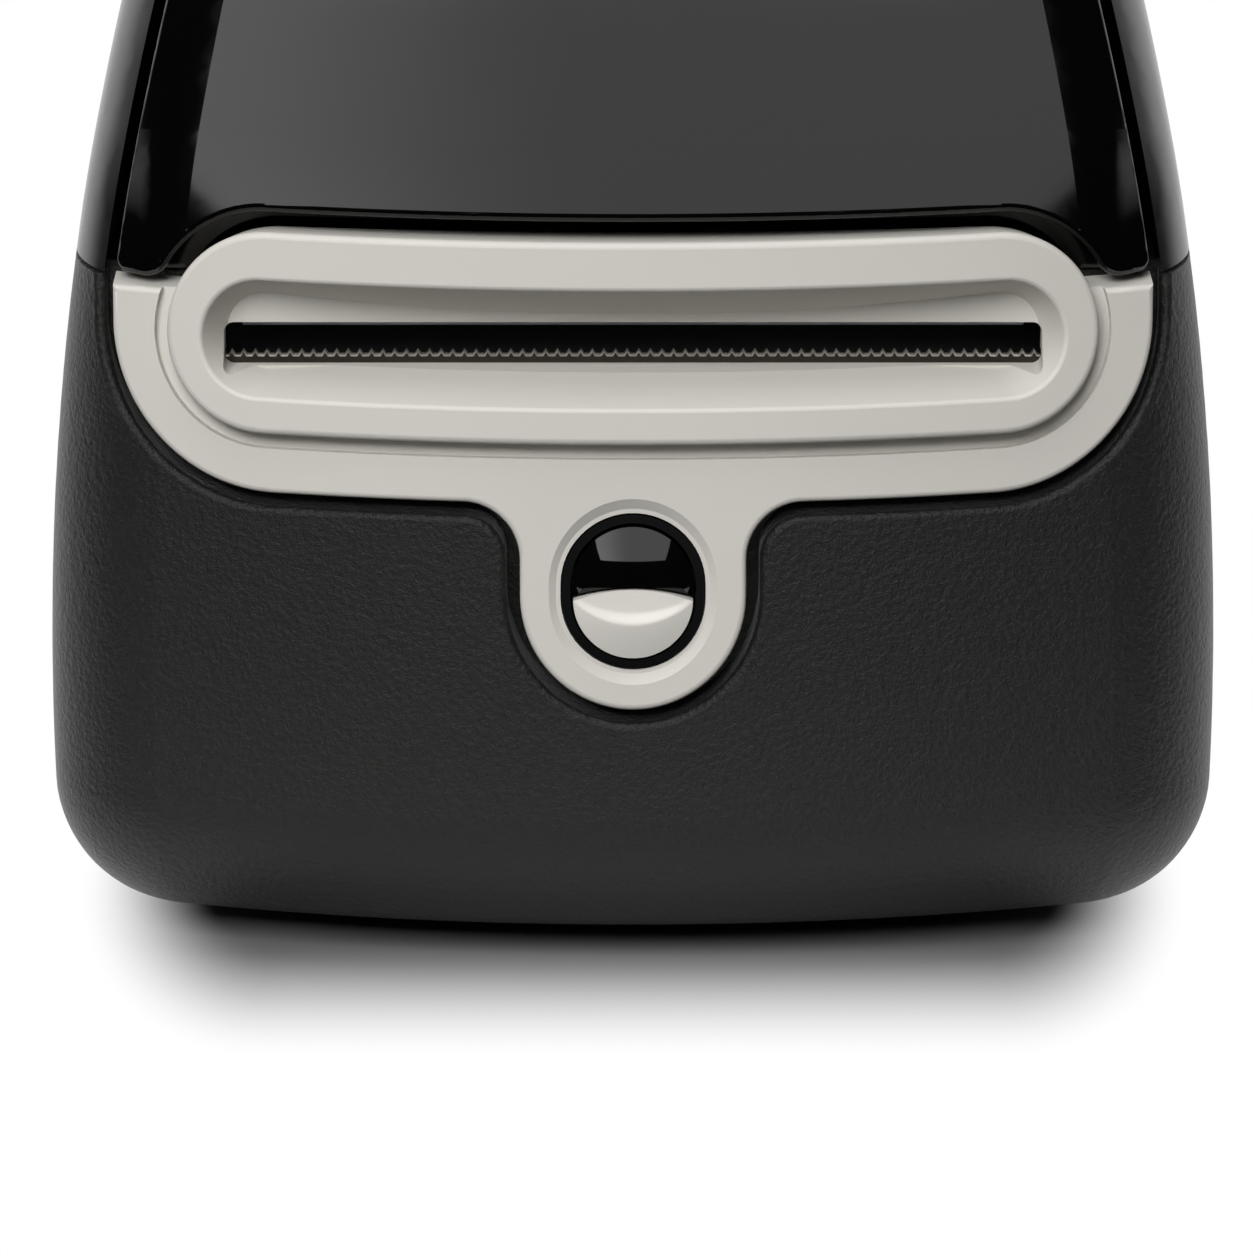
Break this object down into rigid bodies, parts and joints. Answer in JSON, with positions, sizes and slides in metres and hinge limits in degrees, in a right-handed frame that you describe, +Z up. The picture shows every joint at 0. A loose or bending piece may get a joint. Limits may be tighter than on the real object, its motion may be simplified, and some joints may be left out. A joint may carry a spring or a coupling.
{
  "type": "desktop label printer",
  "caption": "Desktop direct thermal label printer with a bent, leaning front, flared label exit, serrated tear bar, hinged hood over a label roll, platen drive and feed button.",
  "frame": {"origin": "on the table, under the middle of the printer's outline", "axes": "+Z up, the label exit faces -Y, X runs across the printer"},
  "size_m": [0.127, 0.187, 0.146],
  "materials": {
    "body_black": "fine leather grain",
    "cheek_black": "satin",
    "lid_black": "polished",
    "trim_grey": "satin warm grey",
    "mouth_grey": "satin warm grey",
    "button_grey": "satin warm grey",
    "ring_black": "satin",
    "lens_black": "polished dark tint",
    "base_black": "fine grain",
    "foot_rubber": "soft",
    "tray_black": "fine grain",
    "spool_grey": "satin",
    "core_card": "raw",
    "label_paper": "smooth",
    "tear_steel": "stamped",
    "frame_steel": "zinc plated",
    "pin_steel": "ground",
    "bush_brass": "turned",
    "platen_black": "ground",
    "gear_white": "moulded",
    "motor_silver": "drawn can",
    "carrier_alloy": "milled",
    "strip_ceramic": "glazed",
    "lever_blue": "satin",
    "board_green": "solder mask",
    "switch_black": "moulded",
    "led_clear": "clear",
    "socket_metal": "stamped shell"
  },
  "bodies": {
    "chassis": {"lower_housing": "body_black", "upper_housing": "cheek_black", "front_trim": "trim_grey", "exit_mouth": "mouth_grey", "button_ring": "ring_black", "status_lens": "lens_black", "base_plate": "base_black", "rubber_feet": "foot_rubber", "roll_tray": "tray_black", "spool_bracket_left": "tray_black", "spool_bracket_right": "tray_black", "tear_bar": "tear_steel", "frame_left": "frame_steel", "frame_right": "frame_steel", "head_bridge": "frame_steel", "hinge_pins": "pin_steel", "head_rod": "pin_steel", "idler_stud": "pin_steel", "base_screws": "pin_steel", "motor_screws": "pin_steel", "pressure_spring": "pin_steel", "dc_pin": "pin_steel", "platen_bushes": "bush_brass", "stepper_motor": "motor_silver", "main_board": "board_green", "button_board": "board_green", "feed_switch": "switch_black", "label_sensor": "switch_black", "dc_socket": "switch_black", "usb_tongue": "switch_black", "status_led": "led_clear", "usb_socket": "socket_metal"},
    "lid": {"top_lid": "lid_black"},
    "spool": {"spool_spindle": "spool_grey", "roll_core": "core_card", "label_roll": "label_paper"},
    "guide": {"guide_ring": "spool_grey"},
    "platen": {"platen_shaft": "pin_steel", "platen_rubber": "platen_black", "platen_gear": "gear_white"},
    "idler": {"idler_gear": "gear_white"},
    "pinion": {"motor_pinion": "gear_white", "motor_shaft": "pin_steel"},
    "head": {"head_carrier": "carrier_alloy", "thermal_head": "strip_ceramic", "release_lever": "lever_blue"},
    "button": {"feed_button": "button_grey"}
  },
  "joints": [
    {"name": "lid_hinge", "type": "hinge", "parent": "chassis", "child": "lid", "pos_m": [0, 0.0886, 0.112], "axis": [-1, 0, 0], "range_deg": [0, 90]},
    {"name": "spool_spin", "type": "hinge", "parent": "chassis", "child": "spool", "pos_m": [0, 0.01201, 0.092], "axis": [1, 0, 0], "continuous": true},
    {"name": "guide_slide", "type": "slide", "parent": "spool", "child": "guide", "axis": [1, 0, 0], "range_m": [0, 0.006]},
    {"name": "platen_spin", "type": "hinge", "parent": "chassis", "child": "platen", "pos_m": [0, -0.06069, 0.0595], "axis": [1, 0, 0], "continuous": true},
    {"name": "idler_spin", "type": "hinge", "parent": "chassis", "child": "idler", "pos_m": [0, -0.05348, 0.04703], "axis": [1, 0, 0], "continuous": true},
    {"name": "pinion_spin", "type": "hinge", "parent": "chassis", "child": "pinion", "pos_m": [0, -0.03494, 0.04206], "axis": [1, 0, 0], "continuous": true},
    {"name": "head_lift", "type": "hinge", "parent": "chassis", "child": "head", "pos_m": [0, -0.04469, 0.077], "axis": [-1, 0, 0], "range_deg": [0, 10], "stiffness_Nm_per_rad": 1, "springref_deg": -8.59, "deforming": ["pressure_spring"]},
    {"name": "button_press", "type": "slide", "parent": "chassis", "child": "button", "axis": [0, 0.9848, -0.1736], "range_m": [0, 0.0008], "stiffness_N_per_m": 300, "springref_m": -0.001}
  ],
  "couplings": [
    {"joint": "idler_spin", "follows": "platen_spin", "ratio": -2},
    {"joint": "pinion_spin", "follows": "platen_spin", "ratio": 6}
  ]
}
